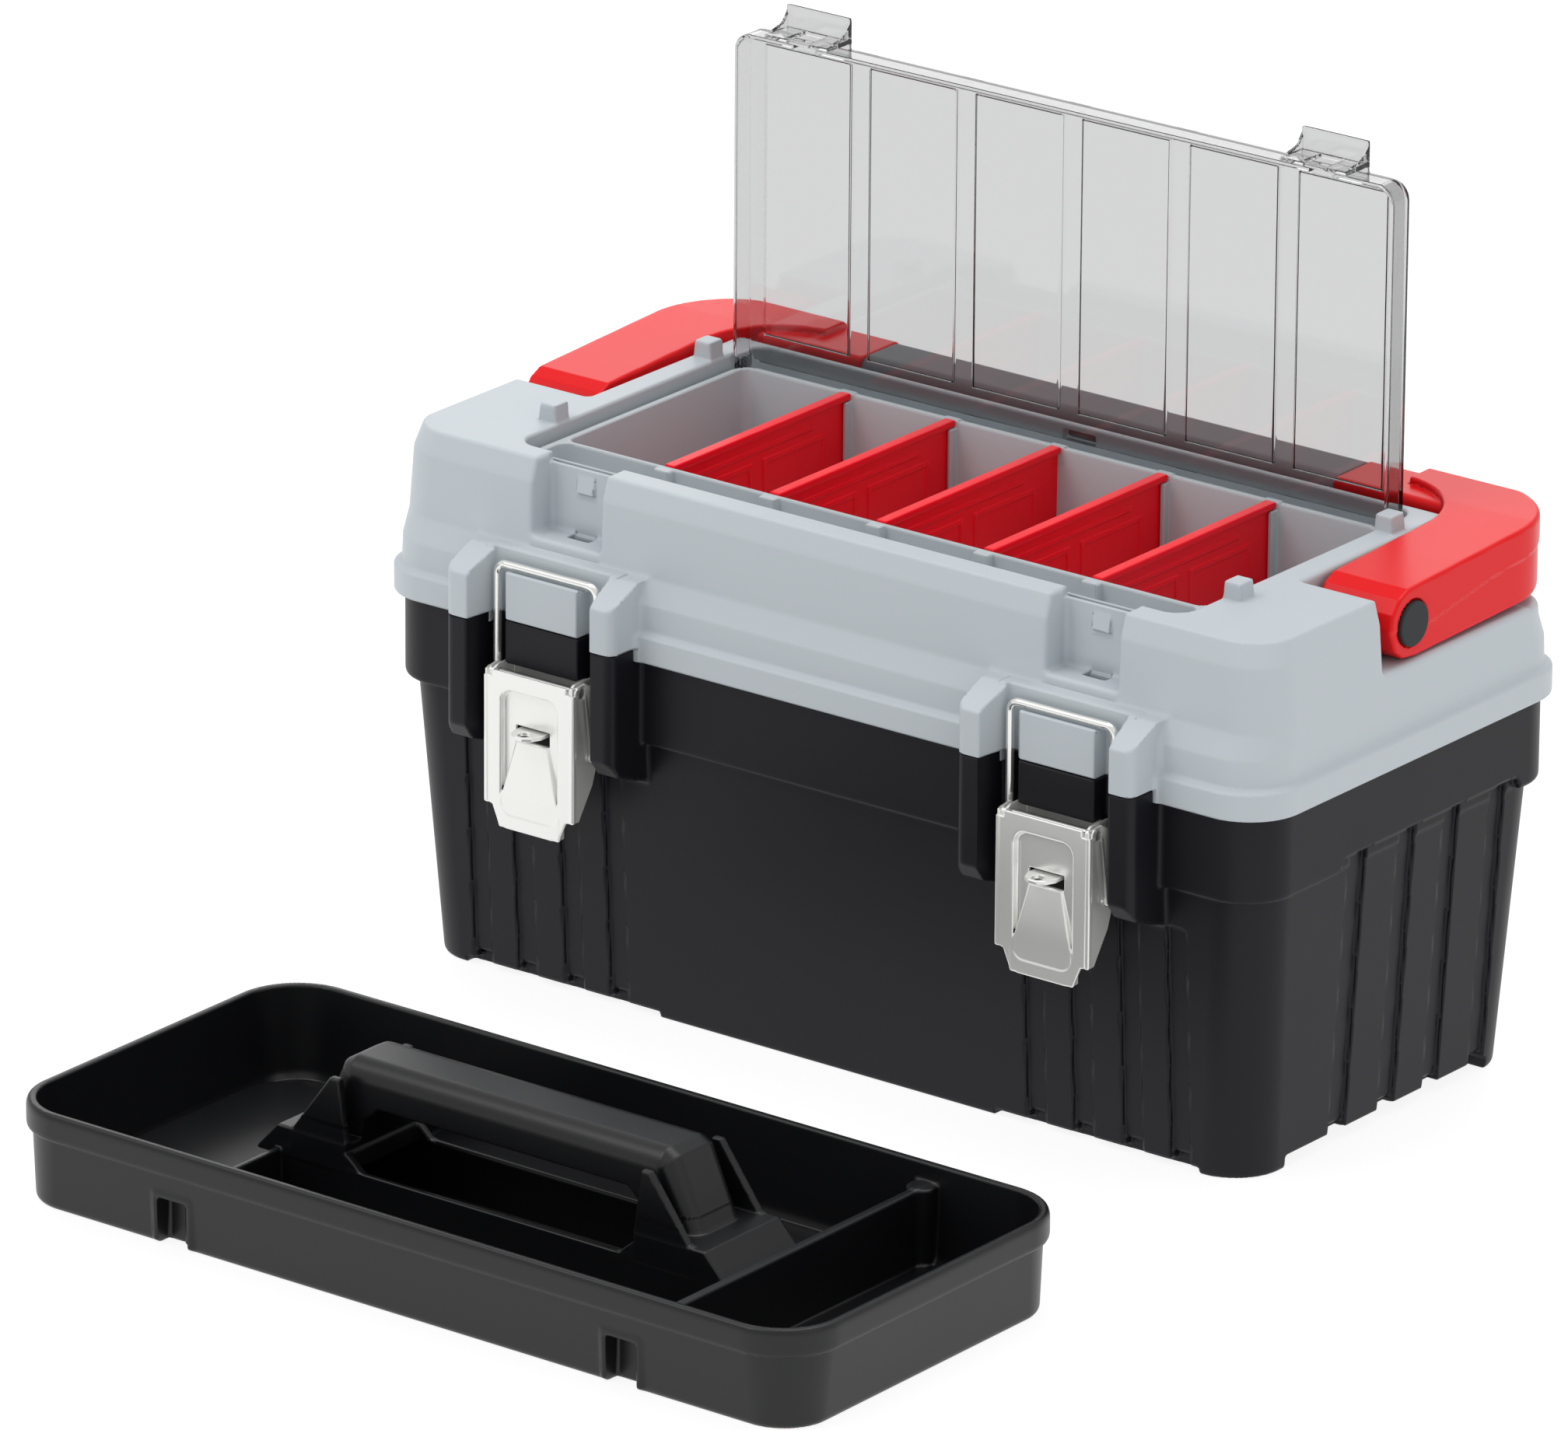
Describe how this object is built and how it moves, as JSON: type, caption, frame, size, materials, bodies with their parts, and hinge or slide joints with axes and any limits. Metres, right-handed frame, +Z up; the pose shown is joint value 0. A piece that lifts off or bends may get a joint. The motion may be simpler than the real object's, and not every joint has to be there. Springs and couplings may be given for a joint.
{
  "type": "tool box",
  "caption": "Portable tool box with a lid organiser under a clear cover, a swing handle, draw latches and a lift-out tray beside it.",
  "frame": {"origin": "centre of the underside of the base tub, on the floor", "axes": "+X to the right along the case, -Y towards the front with the latches, +Z up"},
  "size_m": [0.4846, 0.5615, 0.4075],
  "materials": {
    "black_plastic": "moulded satin black polypropylene",
    "grey_plastic": "moulded light grey polypropylene, fine texture",
    "bin_plastic": "moulded mid grey polypropylene",
    "red_plastic": "moulded red polypropylene, satin",
    "divider_plastic": "moulded crimson polypropylene",
    "clear_plastic": "clear moulded polycarbonate with a faint smoky tint",
    "grip_plastic": "dark grey soft grip",
    "pivot_plastic": "dark grey moulded cap",
    "pressed_metal": "bright pressed steel sheet",
    "wire_metal": "bright plated steel wire",
    "pin_metal": "plain steel pin",
    "tray_plastic": "moulded black polypropylene"
  },
  "bodies": {
    "base": {"base_tub": "black_plastic", "lid_hinge_pins": "pin_metal", "latch_plate_left": "pressed_metal", "latch_plate_right": "pressed_metal", "latch_pin_left": "pin_metal", "latch_pin_right": "pin_metal"},
    "lid": {"main_lid": "grey_plastic", "organiser_bin": "bin_plastic", "handle_pivot_left": "pivot_plastic", "handle_pivot_right": "pivot_plastic"},
    "handle": {"handle_bail": "red_plastic", "handle_grip": "grip_plastic"},
    "cover": {"clear_cover": "clear_plastic"},
    "lever_left": {"latch_lever_left": "pressed_metal"},
    "lever_right": {"latch_lever_right": "pressed_metal"},
    "wire_left": {"latch_wire_left": "wire_metal"},
    "wire_right": {"latch_wire_right": "wire_metal"},
    "tray": {"tool_tray": "tray_plastic"},
    "divider_1_body": {"divider_1": "divider_plastic"},
    "divider_2_body": {"divider_2": "divider_plastic"},
    "divider_3_body": {"divider_3": "divider_plastic"},
    "divider_4_body": {"divider_4": "divider_plastic"},
    "divider_5_body": {"divider_5": "divider_plastic"}
  },
  "joints": [
    {"name": "lid_hinge", "type": "hinge", "parent": "base", "child": "lid", "pos_m": [0, 0.1205, 0.171], "axis": [-1, 0, 0], "range_deg": [0, 100]},
    {"name": "handle_swing", "type": "hinge", "parent": "lid", "child": "handle", "pos_m": [0, 0, 0.228], "axis": [1, 0, 0], "range_deg": [0, 90]},
    {"name": "cover_hinge", "type": "hinge", "parent": "lid", "child": "cover", "pos_m": [0, 0.068, 0.237], "axis": [1, 0, 0], "range_deg": [0, 90]},
    {"name": "latch_lever_left_pivot", "type": "hinge", "parent": "base", "child": "lever_left", "pos_m": [-0.1385, -0.1245, 0.152], "axis": [-1, 0, 0], "range_deg": [0, 75]},
    {"name": "latch_wire_left_pivot", "type": "hinge", "parent": "lever_left", "child": "wire_left", "pos_m": [-0.1385, -0.1175, 0.1205], "axis": [-1, 0, 0], "range_deg": [-100, 0]},
    {"name": "latch_lever_right_pivot", "type": "hinge", "parent": "base", "child": "lever_right", "pos_m": [0.1385, -0.1245, 0.152], "axis": [-1, 0, 0], "range_deg": [0, 75]},
    {"name": "latch_wire_right_pivot", "type": "hinge", "parent": "lever_right", "child": "wire_right", "pos_m": [0.1385, -0.1175, 0.1205], "axis": [-1, 0, 0], "range_deg": [-100, 0]},
    {"name": "divider_1_lift", "type": "slide", "parent": "lid", "child": "divider_1_body", "axis": [0, 0, -1], "range_m": [-0.045, 0]},
    {"name": "divider_2_lift", "type": "slide", "parent": "lid", "child": "divider_2_body", "axis": [0, 0, -1], "range_m": [-0.045, 0]},
    {"name": "divider_3_lift", "type": "slide", "parent": "lid", "child": "divider_3_body", "axis": [0, 0, -1], "range_m": [-0.045, 0]},
    {"name": "divider_4_lift", "type": "slide", "parent": "lid", "child": "divider_4_body", "axis": [0, 0, -1], "range_m": [-0.045, 0]},
    {"name": "divider_5_lift", "type": "slide", "parent": "lid", "child": "divider_5_body", "axis": [0, 0, -1], "range_m": [-0.045, 0]},
    {"name": "tray_lift", "type": "slide", "parent": "base", "child": "tray", "axis": [0, 0, 1], "range_m": [0, 0.2]}
  ],
  "couplings": [
    {"joint": "cover_hinge", "follows": "handle_swing", "ratio": 1},
    {"joint": "latch_wire_left_pivot", "follows": "latch_lever_left_pivot", "ratio": -1.33},
    {"joint": "latch_wire_right_pivot", "follows": "latch_lever_right_pivot", "ratio": -1.33}
  ]
}
